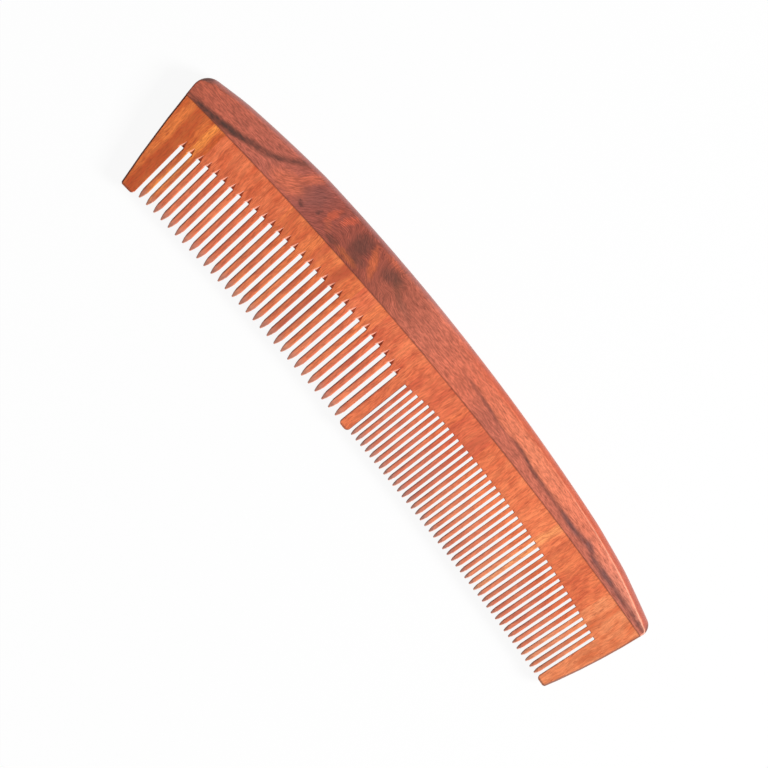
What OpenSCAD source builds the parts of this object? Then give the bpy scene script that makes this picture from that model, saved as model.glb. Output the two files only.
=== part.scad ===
// Wooden comb with a coarse and a fine half, lying flat with its back towards +Y.
// A long-grain spine holds a row of edge-glued staves whose grain runs along the teeth.
// The origin is at mid-length on the underside, halfway across the spine.

/* [Overall] */
// Overall length, end to end
comb_len = 180; // [165:1:200]
// Thickness of the spine and of the web above the teeth
thickness = 7; // [6:0.5:9]
// How far the rounded back edge bulges beyond the edges of the two faces
nose_depth = 1.6; // [0.8:0.1:2.2]

/* [Spine] */
// Width of the spine at its widest, from the glue joint to the back edge
spine_w = 10.6; // [9:0.2:14]
// Radius of the back edge along its middle
back_r = 631; // [600:1:680]
// Offset of that arc's crown from mid-length
back_crown_x = -4.7; // [-6:0.1:-2]
// Radius of the back edge further out, on both sides
shoulder_r = 446; // [430:1:460]
// Height of that arc's crown above the crown of the back
shoulder_rise = 1; // [0.8:0.05:1.2]
// Radius of the back edge close to both ends
heel_r = 339; // [325:1:350]
// Height of that arc's crown above the crown of the back
heel_rise = 3.1; // [2.8:0.05:3.4]
// Offset of the crowns of these two arcs from mid-length
heel_crown_x = -1.7; // [-3:0.1:0]
// Radius of the curved glue joint
joint_r = 1072; // [900:1:2000]
// Offset of the glue joint's crown from mid-length
joint_crown_x = 19.3; // [0:0.1:30]

/* [Coarse end] */
// Corner radius
coarse_corner_r = 4.5; // [3:0.1:6]
// Lean of the side just below the corner, in degrees
coarse_lean = 11.8; // [8:0.1:16]
// Radius of the side's curve
coarse_side_r = 350; // [250:10:1000]

/* [Fine end] */
// Corner radius
fine_corner_r = 3; // [2.5:0.1:5]
// Lean of the side just below the corner, in degrees
fine_lean = 6.9; // [4:0.1:12]
// Radius of the side's curve
fine_side_r = 180; // [150:1:1000]

/* [Tooth tips] */
// Depth of the toothed board, from the glue joint to the tips
board_depth = 27.1; // [25:0.1:34]
// Radius of the curve through the tips
tip_r = 1050; // [800:1:2000]
// Offset of the tip curve's crown from mid-length
tip_crown_x = 16.4; // [0:0.1:30]
// Thickness of the teeth where the tip bevel starts to bite
tip_thickness = 3; // [2:0.1:4]
// Length of the taper on both faces, from the tips
taper_len = 21; // [12:0.5:22]
// Width of the blunt end of a tooth, seen on the face
tip_w = 0.4; // [0.2:0.05:0.6]
// Length of the bevel on both faces at the tip
tip_bevel_len = 1.6; // [0.8:0.1:3]
// Depth of that bevel
tip_bevel = 0.8; // [0.2:0.05:0.9]
// Distance from the tips to the point where the centre lines of all gaps meet
fan_r = 742.5; // [600:0.5:1200]
// Offset of that point from mid-length
fan_x = 2.6; // [-5:0.1:8]

/* [Coarse teeth] */
// Spacing at the tips
coarse_pitch = 2.65; // [2.3:0.05:3.2]
// Saw cut between the teeth
coarse_gap = 1; // [0.7:0.05:1.3]
// Height of the web from the glue joint's crown to the crown of the root curve
coarse_web = 7.4; // [6:0.1:10]
// Radius of the root curve
coarse_root_r = 305; // [250:1:600]
// Offset of the root curve's crown from mid-length
coarse_root_x = -13.5; // [-30:0.5:0]
// Length of the pointed end of a tooth
coarse_point = 2.4; // [1:0.1:4]
// Length of the pointed notch above each saw cut
notch_len = 1.85; // [1:0.05:3]
// Width of that notch at the root
notch_w = 1.45; // [1.2:0.05:1.8]

/* [Fine teeth] */
// Spacing at the tips
fine_pitch = 1.85; // [1.6:0.05:2.3]
// Saw cut between the teeth
fine_gap = 0.7; // [0.5:0.05:0.9]
// Height of the web from the glue joint's crown to the crown of the root curve
fine_web = 6.9; // [6:0.1:10]
// Radius of the root curve
fine_root_r = 337; // [250:1:600]
// Offset of the root curve's crown from mid-length
fine_root_x = 25.8; // [0:0.5:40]
// Length of the pointed end of a tooth
fine_point = 1.6; // [0.8:0.1:3]

/* [Guards] */
// Least width of the guard at the coarse end, at its foot
coarse_guard_w = 4; // [3:0.1:6]
// How far that guard reaches past the tips
coarse_guard_reach = 0.7; // [0:0.1:1.5]
// Least width of the guard at the fine end, at its foot
fine_guard_w = 2.8; // [2:0.1:5]
// How far that guard reaches past the tips
fine_guard_reach = 0.1; // [0:0.1:1.5]
// Width of the guard between the two halves
mid_guard_w = 3.3; // [2.5:0.1:5]
// Offset of that guard from mid-length, at the tips
mid_guard_x = 1.15; // [-8:0.05:8]
// How far that guard reaches past the tips
mid_guard_reach = 0.4; // [0:0.1:1.5]
// Height of the web from the glue joint's crown to the roots beside that guard
mid_web = 8.6; // [8:0.1:11]
// Slope of the roots beside that guard, in degrees
mid_ramp = 9; // [5:0.5:15]
// Radius of a guard's rounded foot corner
foot_r = 1.1; // [0.5:0.05:1.3]
// Bevel round a guard's foot
foot_bevel = 0.5; // [0.1:0.05:0.8]

/* [Glue joints] */
// Offset of the joint between two staves from the centre line of its gap
joint_shift = 0.2; // [0.1:0.05:0.2]
// Thickness of the tongue along the top of the staves
tongue_t = 2.4; // [1.6:0.1:3]
// Height of the tongue
tongue_h = 2.5; // [1.5:0.1:3]
// Distance of the tongue's ends from the ends of the comb
tongue_inset = 9; // [7:0.5:12]
// Glue gap round the tongue in its groove
glue_gap = 0.05; // [0.02:0.01:0.15]

/* [Hidden] */

spine_tone = "#9a4f3c";
stave_tones = ["#e1763f", "#d66c46", "#d86b45", "#e1724d", "#da6e4d", "#ea7b56", "#e97a53", "#f08a5a"];

// Share of each half's gaps that lies on the outer side of a stave joint
coarse_joint_shares = [0.067, 0.367, 0.7];
fine_joint_shares = [0.302, 0.674, 0.884];

COARSE = -1;
FINE = 1;
mid_z = thickness / 2;
overlap = 1;
half_sweep = 8;
cut_margin = 2;
side_detail = 54;
corner_steps = 8;

joint_y = -spine_w / 2;
tip_y = joint_y - board_depth;
back_c = [back_crown_x, spine_w / 2 - back_r];
shoulder_c = [heel_crown_x, spine_w / 2 + shoulder_rise - shoulder_r];
heel_c = [heel_crown_x, spine_w / 2 + heel_rise - heel_r];
nose_r = (pow(mid_z, 2) + pow(nose_depth, 2)) / nose_depth / 2;
joint_c = [joint_crown_x, joint_y - joint_r];
tip_c = [tip_crown_x, tip_y - tip_r];
fan_c = [fan_x, tip_y - fan_r];
coarse_root_c = [coarse_root_x, joint_y - coarse_web - coarse_root_r];
fine_root_c = [fine_root_x, joint_y - fine_web - fine_root_r];
deg_per_mm = 180 / PI / fan_r;

// Ends: a corner arc runs from the heel of the back edge into a side arc, all of them tangent
function corner_r(end) = end == COARSE ? coarse_corner_r : fine_corner_r;
function side_r(end) = end == COARSE ? coarse_side_r : fine_side_r;
function lean(end) = end == COARSE ? coarse_lean : fine_lean;
function corner_x(end) = end * (comb_len / 2 - corner_r(end));
function corner_c(end) =
    [corner_x(end), heel_c.y + sqrt(pow(heel_r - corner_r(end), 2) - pow(corner_x(end) - heel_c.x, 2))];
function side_normal(end) = [end * cos(lean(end)), -sin(lean(end))];
function side_c(end) = corner_c(end) - (side_r(end) - corner_r(end)) * side_normal(end);
function side_x(end, y) = side_c(end).x + end * sqrt(pow(side_r(end), 2) - pow(y - side_c(end).y, 2));
function side_steps(end) = ceil(side_detail / sqrt(side_r(end)));
function polar(v) = atan2(v.y, v.x);
function unit(angle) = [cos(angle), sin(angle)];
function facets(r) = 24 * ceil(sqrt(r));

// Fan: directions are degrees from +Y, seen from the point where the gaps meet
function heading(angle) = [sin(angle), cos(angle)];
function reach_to(angle, c, r) =
    let (d = heading(angle), w = fan_c - c, wd = w * d)
    sqrt(wd * wd - w * w + r * r) - wd;
function tip_at(angle) = reach_to(angle, tip_c, tip_r);
function tip_curve_y(x) = tip_c.y + sqrt(pow(tip_r, 2) - pow(x - tip_c.x, 2));
function end_angle(end) =
    let (y = tip_curve_y(side_x(end, tip_y)))
    atan2(side_x(end, y) - fan_c.x, y - fan_c.y);

mid_angle = asin((mid_guard_x - fan_x) / fan_r);
coarse_step = coarse_pitch * deg_per_mm;
fine_step = fine_pitch * deg_per_mm;
coarse_first = mid_angle - (mid_guard_w + coarse_gap) / 2 * deg_per_mm;
fine_first = mid_angle + (mid_guard_w + fine_gap) / 2 * deg_per_mm;
coarse_last = end_angle(COARSE) + (coarse_guard_w + coarse_gap / 2) * deg_per_mm;
fine_last = end_angle(FINE) - (fine_guard_w + fine_gap / 2) * deg_per_mm;

// As many gaps in each half as fit between the middle guard and the end guard
coarse_count = 1 + floor((coarse_first - coarse_last) / coarse_step);
fine_count = 1 + floor((fine_last - fine_first) / fine_step);
last_gap = coarse_count + fine_count - 1;
function is_coarse(i) = i < coarse_count;
function gap_angle(i) =
    is_coarse(i) ? coarse_first - (coarse_count - 1 - i) * coarse_step
                 : fine_first + (i - coarse_count) * fine_step;
function gap_w(i) = is_coarse(i) ? coarse_gap : fine_gap;
function pitch(i) = is_coarse(i) ? coarse_pitch : fine_pitch;
function point_len(i) = is_coarse(i) ? coarse_point : fine_point;

// Roots: each half follows its own arc and ramps down beside the middle guard
function ramp_at(i) =
    let (angle = gap_angle(i), start = is_coarse(i) ? coarse_first : fine_first,
         start_x = fan_c.x + (joint_y - mid_web - fan_c.y) * tan(start),
         slope = (is_coarse(i) ? -1 : 1) * tan(mid_ramp))
    (joint_y - mid_web - fan_c.y + slope * (fan_c.x - start_x)) / (cos(angle) - slope * sin(angle));
function root_at(i) =
    min(ramp_at(i), is_coarse(i) ? reach_to(gap_angle(i), coarse_root_c, coarse_root_r)
                                 : reach_to(gap_angle(i), fine_root_c, fine_root_r));

// Staves: each runs from one joint to the next, and every joint lies inside a gap
joints = concat([for (s = coarse_joint_shares) round(s * coarse_count)], [coarse_count],
                [for (s = fine_joint_shares) coarse_count + round(s * fine_count)]);
function seam(i) = gap_angle(i) + joint_shift * deg_per_mm;
end_sweep = 6;
stave_edges = concat([seam(0) - end_sweep], [for (j = joints) seam(j)], [seam(last_gap) + end_sweep]);
first_gaps = concat([0], joints);
final_gaps = concat(joints, [last_gap]);
mid_stave = len(coarse_joint_shares);
last_stave = len(joints);
function has_guard(n) = n == 0 || n == mid_stave || n == last_stave;
function guard_reach(n) =
    n == 0 ? coarse_guard_reach : n == mid_stave ? mid_guard_reach : fine_guard_reach;

// Half the thickness of the tapered board at radius r from the centre of the tip curve
function half_t(r) =
    min(thickness, tip_thickness + (thickness - tip_thickness) * (r - tip_r) / taper_len) / 2;

// Height of the face above mid-thickness on a gap's centre line
function face_at(i, reach) = half_t(norm(fan_c + reach * heading(gap_angle(i)) - tip_c));

// Section of the spine with its rounded edge, whose outermost point is at x = 0
module rim_profile(width) {
    translate([-width, 0])
        square([width - nose_r, thickness]);
    intersection() {
        translate([-nose_r, mid_z])
            circle(r = nose_r, $fn = facets(nose_r));
        translate([-nose_r - overlap, 0])
            square([nose_r + 2 * overlap, thickness]);
    }
}

// Band of the given radius round c, with its rounded edge outwards and wide enough for the spine
module rim_sweep(c, r) {
    rise = c.y + r - spine_w / 2;
    sweep = asin((comb_len / 2 + abs(c.x) + spine_w) / r);
    translate(c)
        rotate(90 - sweep)
            rotate_extrude(angle = 2 * sweep, $fn = facets(r))
                translate([r, 0])
                    rim_profile(spine_w + rise + 2 * cut_margin);
}

// Points along one end from its foot up round the corner, the last one just past the back edge
function end_points(end) =
    let (c = corner_c(end), r = corner_r(end), top_y = c.y + r * side_normal(end).y,
         foot_y = tip_curve_y(end * comb_len / 2) - cut_margin,
         start = polar(side_normal(end)) + (end == COARSE ? 360 : 0), turn = polar(c - heel_c) - start,
         round = [for (k = [0:corner_steps]) c + r * unit(start + turn * k / corner_steps)],
         last = round[corner_steps] - round[corner_steps - 1])
    concat([for (k = [0:side_steps(end) - 1])
               let (y = foot_y + (top_y - foot_y) * k / side_steps(end))
               [side_x(end, y), y]],
           round, [round[corner_steps] + corner_steps * last]);

// Outline of the whole comb, left open past the back edge and the feet
module comb_plan() {
    fine_side = end_points(FINE);
    last = len(fine_side) - 1;
    crown = [for (x = [-1, 1]) [x * comb_len / 4, spine_w / 2 + cut_margin]];
    polygon(concat(end_points(COARSE), crown, [for (k = [last:-1:0]) fine_side[k]]));
}

// Face outline carried right through the thickness, and a little past both faces
module full_height() {
    translate([0, 0, -overlap])
        linear_extrude(thickness + 2 * overlap)
            children();
}

// Everything on the teeth side of the glue joint
module below_joint() {
    translate(joint_c)
        circle(r = joint_r, $fn = facets(joint_r));
}

// Bar along the glue joint, from below it up to the given height, for the tongue and its groove
module joint_bar(height, bar_t, half_len) {
    intersection() {
        translate([joint_c.x, joint_c.y, mid_z - bar_t / 2])
            difference() {
                cylinder(r = joint_r + height, h = bar_t, $fn = facets(joint_r));
                translate([0, 0, -overlap])
                    cylinder(r = joint_r - overlap, h = bar_t + 2 * overlap, $fn = facets(joint_r));
            }
        translate([-half_len, joint_y - board_depth, 0])
            cube([2 * half_len, board_depth + spine_w, thickness]);
    }
}

module spine() {
    color(spine_tone)
        difference() {
            intersection() {
                rim_sweep(back_c, back_r);
                rim_sweep(shoulder_c, shoulder_r);
                rim_sweep(heel_c, heel_r);
                full_height() comb_plan();
            }
            full_height() below_joint();
            joint_bar(tongue_h + glue_gap, tongue_t + 2 * glue_gap, comb_len / 2 - tongue_inset + glue_gap);
        }
}

// Slice of the fan between two directions
module sector(from, to) {
    far = fan_r + 2 * (board_depth + spine_w);
    polygon([fan_c, fan_c + far * heading(from), fan_c + far * heading(to)]);
}

// Board tapered on both faces, ending the given reach past the tips with a bevelled edge
module tapered_board(reach, bevel_len, bevel) {
    r_end = tip_r - reach;
    r_bevel = r_end + bevel_len;
    r_flat = tip_r + taper_len;
    r_top = tip_r + board_depth + tongue_h;
    end_t = half_t(r_end) - bevel;
    translate(tip_c)
        rotate(90 - half_sweep)
            rotate_extrude(angle = 2 * half_sweep, $fn = facets(tip_r))
                polygon([[r_end, mid_z - end_t], [r_bevel, mid_z - half_t(r_bevel)], [r_flat, 0], [r_top, 0],
                         [r_top, thickness], [r_flat, thickness], [r_bevel, mid_z + half_t(r_bevel)],
                         [r_end, mid_z + end_t]]);
}

// What is taken off the teeth beside a guard, to bring them back to the tip curve and bevel them
module tip_cut(from, to) {
    r_bevel = tip_r + tip_bevel_len;
    r_low = tip_r - cut_margin;
    end_t = half_t(tip_r) - tip_bevel;
    bevel_t = half_t(r_bevel);
    intersection() {
        translate(tip_c)
            rotate(90 - half_sweep)
                rotate_extrude(angle = 2 * half_sweep, $fn = facets(tip_r))
                    polygon([[r_low, -overlap], [r_bevel, -overlap], [r_bevel, mid_z - bevel_t],
                             [tip_r, mid_z - end_t], [tip_r, mid_z + end_t], [r_bevel, mid_z + bevel_t],
                             [r_bevel, thickness + overlap], [r_low, thickness + overlap]]);
        full_height() sector(from, to);
    }
}

// One saw cut, seen on the face, with its mouth flared where it borders a tooth
module gap_plan(i) {
    half = gap_w(i) / 2;
    mouth = half + (pitch(i) - gap_w(i) - tip_w) / 2;
    mid_mouth = half + (mouth - half) / 3;
    tip = tip_at(gap_angle(i));
    shoulder = tip + point_len(i);
    waist = tip + point_len(i) / 2;
    below = tip - cut_margin;
    guard_left = i == 0 || i == coarse_count;
    guard_right = i == last_gap || i == coarse_count - 1;
    left = guard_left ? [[-half, below]]
                      : [[-mouth, below], [-mouth, tip], [-mid_mouth, waist], [-half, shoulder]];
    right = guard_right ? [[half, below]]
                        : [[half, shoulder], [mid_mouth, waist], [mouth, tip], [mouth, below]];
    polygon(concat(left, [[-half, root_at(i)], [half, root_at(i)]], right));
    if (guard_left)
        foot_corner(-1, half, tip - (i == 0 ? coarse_guard_reach : mid_guard_reach));
    if (guard_right)
        foot_corner(1, half, tip - (i == last_gap ? fine_guard_reach : mid_guard_reach));
}

// What a rounded corner takes off a guard's foot beside a saw cut
module foot_corner(hand, half, foot) {
    difference() {
        translate([hand * half - (hand < 0 ? foot_r : 0), foot - foot_r])
            square([foot_r, 2 * foot_r]);
        translate([hand * (half + foot_r), foot + foot_r])
            circle(r = foot_r, $fn = facets(foot_r));
    }
}

// Places its children on the centre line of a gap, with y measured from the centre of the fan
module at_gap(i) {
    translate(fan_c)
        rotate(-gap_angle(i))
            children();
}

// Pointed notch in both faces where the cutter ran out above a coarse gap
module run_out(i) {
    root = root_at(i);
    start = root + notch_len;
    drop = face_at(i, start) - face_at(i, root) + notch_w / 2;
    length = norm([notch_len, drop]) + coarse_gap / 4;
    for (face = [0, 1])
        translate([0, 0, mid_z])
            mirror([0, 0, face])
                translate([0, start, face_at(i, start)])
                    rotate([atan2(drop, notch_len), 0, 0])
                        rotate([0, -45, 0])
                            translate([0, -length, 0])
                                cube([notch_w, length + notch_len, notch_w]);
}

// Outline of a stave on the face, from one joint line to the next
module stave_plan(n) {
    difference() {
        intersection() {
            sector(stave_edges[n], stave_edges[n + 1]);
            below_joint();
            if (n == 0 || n == last_stave)
                comb_plan();
        }
        for (i = [first_gaps[n]:final_gaps[n]])
            at_gap(i)
                gap_plan(i);
    }
}

module stave(n) {
    from = stave_edges[n];
    to = stave_edges[n + 1];
    color(stave_tones[n])
        difference() {
            union() {
                intersection() {
                    if (has_guard(n))
                        tapered_board(guard_reach(n), foot_bevel, foot_bevel);
                    else
                        tapered_board(0, tip_bevel_len, tip_bevel);
                    full_height() stave_plan(n);
                }
                intersection() {
                    joint_bar(tongue_h, tongue_t, comb_len / 2 - tongue_inset);
                    full_height() sector(from, to);
                }
            }
            if (has_guard(n))
                tip_cut(n == 0 ? seam(0) : from,
                        n == mid_stave ? seam(coarse_count - 1) : n == last_stave ? seam(last_gap) : to);
            for (i = [first_gaps[n]:final_gaps[n]])
                if (is_coarse(i))
                    at_gap(i)
                        run_out(i);
        }
}

spine();
stave(0);  // coarse_guard_stave
stave(1);  // coarse_outer_stave
stave(2);  // coarse_middle_stave
stave(3);  // coarse_inner_stave
stave(4);  // fine_inner_stave
stave(5);  // fine_middle_stave
stave(6);  // fine_outer_stave
stave(7);  // fine_guard_stave
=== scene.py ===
# %% [markdown]
# # A wooden comb, from plain solids to a finished object
# The comb lies flat with its back towards +Y and its fine teeth towards +X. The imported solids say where
# every piece sits, in metres. This lesson gives those pieces soft edges and wood that looks like wood.

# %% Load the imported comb
import bpy
import bmesh
import math
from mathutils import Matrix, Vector


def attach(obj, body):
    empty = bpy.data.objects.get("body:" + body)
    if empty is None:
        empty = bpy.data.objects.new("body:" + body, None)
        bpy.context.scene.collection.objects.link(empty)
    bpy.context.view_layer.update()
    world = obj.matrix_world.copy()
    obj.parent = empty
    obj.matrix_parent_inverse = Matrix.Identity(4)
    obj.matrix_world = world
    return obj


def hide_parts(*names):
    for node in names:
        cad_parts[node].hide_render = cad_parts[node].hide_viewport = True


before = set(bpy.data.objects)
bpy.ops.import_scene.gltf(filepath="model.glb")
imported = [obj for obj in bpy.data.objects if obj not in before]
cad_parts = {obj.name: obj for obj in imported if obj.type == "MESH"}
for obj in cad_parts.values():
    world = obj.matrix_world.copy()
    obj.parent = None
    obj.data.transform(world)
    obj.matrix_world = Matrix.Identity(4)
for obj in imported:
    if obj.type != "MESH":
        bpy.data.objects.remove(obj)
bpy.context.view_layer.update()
print("nodes:", sorted(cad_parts))

# %% [markdown]
# ## Camera
# The comb is seen straight from above, and its far end is no smaller than its near end. A long lens far
# away would do that too, but an orthographic camera has no perspective at all and needs only a width and a
# turn.

# %% Camera
VIEW_WIDTH, VIEW_TURN = 0.19446, 51.07
VIEW_PLACE = (-0.00065, -0.01793, 0.5)
bpy.ops.object.select_all(action="DESELECT")
bpy.ops.object.camera_add(location=VIEW_PLACE, rotation=(0, 0, math.radians(VIEW_TURN)))
camera = bpy.context.object
camera.name = "camera_above"
camera.data.type = "ORTHO"
camera.data.ortho_scale = VIEW_WIDTH
bpy.context.scene.camera = camera
bpy.context.scene.view_settings.view_transform = "Standard"
print("camera width in mm:", round(VIEW_WIDTH * 1000, 1))

# %% [markdown]
# ## Nodes by the handful
# Wood needs many small shader nodes. Adding them one by one in the editor is slow to repeat, so these
# helpers add a node, set it up and plug it in. Colours are written as the hex codes seen on screen and made
# linear here.

# %% Add and fill a node
def linear(code):
    """Scene-linear colour of an on-screen hex code."""
    parts = [int(code[i:i + 2], 16) / 255 for i in (1, 3, 5)]
    return (*[p / 12.92 if p <= 0.04045 else ((p + 0.055) / 1.055) ** 2.4 for p in parts], 1.0)


def node(tree, kind, inputs=None, **settings):
    """Add a node and fill its inputs with values or with other nodes' sockets."""
    made = tree.nodes.new("ShaderNode" + kind)
    for key, value in settings.items():
        setattr(made, key, value)
    for key, value in (inputs or {}).items():
        if isinstance(value, bpy.types.NodeSocket):
            tree.links.new(value, made.inputs[key])
        else:
            made.inputs[key].default_value = value
    return made


print("a mid grey on screen is", round(linear("#808080")[0], 3), "in linear light")

# %% Small sums and mixes
def calc(tree, operation, first, second=0.0):
    return node(tree, "Math", {0: first, 1: second}, operation=operation).outputs[0]


def times(tree, first, second):
    return calc(tree, "MULTIPLY", first, second)


def plus(tree, first, second):
    return calc(tree, "ADD", first, second)


def lift(tree, value, gain, base):
    """value * gain + base."""
    return node(tree, "Math", {0: value, 1: gain, 2: base}, operation="MULTIPLY_ADD").outputs[0]


def smooth(tree, value, start, stop, low=0.0, high=1.0):
    """Ease from low to high while the value goes from start to stop."""
    return node(tree, "MapRange", {0: value, 1: start, 2: stop, 3: low, 4: high},
                interpolation_type="SMOOTHSTEP").outputs[0]


def vector(tree, x, y, z):
    return node(tree, "CombineXYZ", {0: x, 1: y, 2: z}).outputs[0]


def noise(tree, place, detail=2.0, rough=0.5):
    return node(tree, "TexNoise", {"Vector": place, "Scale": 1.0, "Detail": detail,
                                   "Roughness": rough}).outputs[0]


def blend(tree, share, under, over, how="MIX"):
    return node(tree, "Mix", {0: share, 6: under, 7: over}, data_type="RGBA", blend_type=how).outputs[2]


def tint(tree, colour, share, code):
    """Mix a share of a hex code into a colour."""
    return blend(tree, share, colour, linear(code))


def shade_by(tree, colour, value, depth):
    """Darken and lighten a colour by a value of 0 to 1, by up to the given depth each way."""
    return blend(tree, 1.0, colour, lift(tree, value, 2 * depth, 1 - depth), "MULTIPLY")


print("helpers for sums and mixes are ready")

# %% [markdown]
# ## Floor
# The comb lies on a plain white sheet, a hair below its underside so that the two faces don't fight. Enough
# lamplight would make any sheet white, but it would bleach the wood too. So the sheet shows white by a
# share of its own glow, seen by the camera and in reflections only, and the rest is matt white that keeps a
# faint shadow. From below it is clear.

# %% White sheet
SHEET_SIZE, SHEET_DROP = 4, 0.00003
SHEET_GLOW = 0.93


def white_seen(tree):
    """1 for rays that look at the background, directly or in a reflection, and 0 for light on its way."""
    rays = node(tree, "LightPath")
    seen = calc(tree, "MAXIMUM", rays.outputs["Is Camera Ray"], rays.outputs["Is Glossy Ray"])
    return calc(tree, "MAXIMUM", seen, rays.outputs["Is Transmission Ray"])


bpy.ops.object.select_all(action="DESELECT")
bpy.ops.mesh.primitive_plane_add(size=SHEET_SIZE, location=(0, 0, -SHEET_DROP))
floor = bpy.context.object
floor.name = "white_sheet"
sheet = bpy.data.materials.new("white_sheet")
sheet.use_nodes = True
tree = sheet.node_tree
matt = tree.nodes["Principled BSDF"]
matt.inputs["Base Color"].default_value = linear("#f4f4f4")
matt.inputs["Roughness"].default_value = 0.9
glow = node(tree, "Emission", {"Strength": 1.0})
white = node(tree, "MixShader", {0: times(tree, white_seen(tree), SHEET_GLOW), 1: matt.outputs[0],
                                 2: glow.outputs[0]})
clear = node(tree, "BsdfTransparent")
from_below = node(tree, "NewGeometry").outputs["Backfacing"]
one_sided = node(tree, "MixShader", {0: from_below, 1: white.outputs[0], 2: clear.outputs[0]})
tree.links.new(one_sided.outputs[0], tree.nodes["Material Output"].inputs[0])
floor.data.materials.append(sheet)
print("sheet width in m:", SHEET_SIZE)

# %% [markdown]
# ## Light
# One broad soft lamp stands beyond the fine end and a little to the back, low enough that one side of each
# tooth is lit and the other is not. An even dome of light would hide the teeth's form. The sky looks as
# white as the sheet, but it lights the comb only faintly. Lamp and sky together give a level face a light
# of about 1.

# %% Sky and lamp
SKY_LIGHT = 0.18
LAMP_PLACE, LAMP_SIZE, LAMP_POWER = (1.23, 0.57, 0.99), 0.6, 40
sky = bpy.data.worlds.new("studio_sky")
bpy.context.scene.world = sky
sky.use_nodes = True
tree = sky.node_tree
light = tree.nodes["Background"]
light.inputs["Color"].default_value = (1, 1, 1, 1)
strength = node(tree, "MapRange", {0: white_seen(tree), 3: SKY_LIGHT, 4: 1.0}).outputs[0]
tree.links.new(strength, light.inputs["Strength"])

bpy.ops.object.light_add(type="AREA", location=LAMP_PLACE)
lamp = bpy.context.object
lamp.name = "soft_lamp"
lamp.data.size = LAMP_SIZE
lamp.data.energy = LAMP_POWER
lamp.rotation_euler = (-lamp.location).to_track_quat("-Z", "Y").to_euler()
print("lamp distance in m:", round(lamp.location.length, 2))

# %% [markdown]
# ## The spine's outline
# The spine is a long board with an arched back and an arched glue joint. It could be cut from a box with
# Booleans, but that leaves ragged faces that can't be softened. Here a plane is laid over the board's
# place, its two long edges are subdivided, and the new points are set on the arcs, as a bandsaw follows a
# pencil line.

# %% Lay a plane over the spine
MM = 0.001
THICKNESS = 7.0
BACK_ARCS = [(-4.7, 5.3, 631), (-1.7, 6.3, 446), (-1.7, 8.4, 339)]  # crown x, crown y, radius
JOINT_ARC = (19.3, -5.3, 1072)


def arc(x, crown_x, crown_y, radius):
    """Y of an arc that bulges to the back, at x. All in millimetres."""
    return crown_y - radius + math.sqrt(radius ** 2 - (x - crown_x) ** 2)


def back_y(x):
    return min(arc(x, *one) for one in BACK_ARCS)


def joint_y(x):
    return arc(x, *JOINT_ARC)


CORNERS = {"coarse_joint": (-89.25, joint_y(-89.25)), "fine_joint": (89.89, joint_y(89.89)),
           "coarse_back": (-90.78, -3.49), "fine_back": (90.29, -4.31)}

bpy.ops.object.select_all(action="DESELECT")
bpy.ops.mesh.primitive_plane_add(size=1)
spine = bpy.context.object
spine.name = "shaped_spine"
for vert, (x, y) in zip(spine.data.vertices, CORNERS.values()):
    vert.co = (x * MM, y * MM, 0)
print("corners of the spine:", len(spine.data.vertices))

# %% Bend its long edges
BACK_SIDE = -5  # corners at the back lie above this y, corners at the joint below it
LONG_SIDE = 100  # the ends are shorter than this
BACK_FROM, BACK_TO = -85.9, 87.1
GROOVE_HALF = 81.05


def pick(mesh, chosen_verts=(), chosen_edges=(), chosen_faces=()):
    """Select exactly these elements of a mesh in object mode."""
    for group, chosen in ((mesh.vertices, chosen_verts), (mesh.edges, chosen_edges),
                          (mesh.polygons, chosen_faces)):
        chosen = set(chosen)
        for element in group:
            element.select = element.index in chosen


def subdivide_rail(at_back, first_x, last_x, cuts=100):
    """Subdivide one long edge and set its new points evenly between two places on its arc."""
    mesh = spine.data
    known = len(mesh.vertices)

    def is_rail(edge):
        ends = [mesh.vertices[v].co for v in edge.vertices]
        on_side = all((end.y / MM > BACK_SIDE) == at_back for end in ends)
        return on_side and (ends[0] - ends[1]).length / MM > LONG_SIDE

    rail = [edge for edge in mesh.edges if is_rail(edge)]
    pick(mesh, chosen_edges=[edge.index for edge in rail],
         chosen_verts=[v for edge in rail for v in edge.vertices])
    bpy.ops.object.mode_set(mode="EDIT")
    bpy.ops.mesh.select_mode(type="EDGE")
    bpy.ops.mesh.subdivide(number_cuts=cuts, ngon=True)
    bpy.ops.object.mode_set(mode="OBJECT")
    fresh = sorted((v for v in spine.data.vertices if v.index >= known), key=lambda v: v.co.x)
    for step, vert in enumerate(fresh):
        x = first_x + (last_x - first_x) * step / (len(fresh) - 1)
        vert.co = (x * MM, (back_y(x) if at_back else joint_y(x)) * MM, 0)
    return len(fresh)


rail_points = subdivide_rail(True, BACK_FROM, BACK_TO), subdivide_rail(False, -GROOVE_HALF, GROOVE_HALF)
print("points on the back and on the joint:", rail_points)

# %% [markdown]
# ## Rounded corners
# Sandpaper takes the two back corners off. More points could be set on two small circles, but a vertex
# bevel needs only a length: it replaces a corner by an arc that starts that far before it. The coarse end
# is the rounder one.

# %% Round the back corners
ROUNDING = {"coarse_back": 4.29, "fine_back": 2.59}  # mm from each corner to where its arc starts
for corner, length in ROUNDING.items():
    x, y = CORNERS[corner]
    place = Vector((x * MM, y * MM, 0))
    nearest = min(spine.data.vertices, key=lambda v: (v.co - place).length)
    pick(spine.data, chosen_verts=[nearest.index])
    bpy.ops.object.mode_set(mode="EDIT")
    bpy.ops.mesh.select_mode(type="VERT")
    bpy.ops.mesh.bevel(offset=length * MM, offset_type="ABSOLUTE", segments=12, profile=0.5,
                       affect="VERTICES")
    bpy.ops.object.mode_set(mode="OBJECT")
print("points round the outline:", len(spine.data.vertices))

# %% [markdown]
# ## The rounded back
# Seen from its end, the back of the spine is a shallow nose: an arc from face to face. One wide bevel would
# round the ends as well, but those stay upright. So the outline is extruded in thin slices, like a stack of
# veneers, and every slice is drawn in as far as the nose has fallen at its height. The nose fades out round
# the corners.

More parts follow.
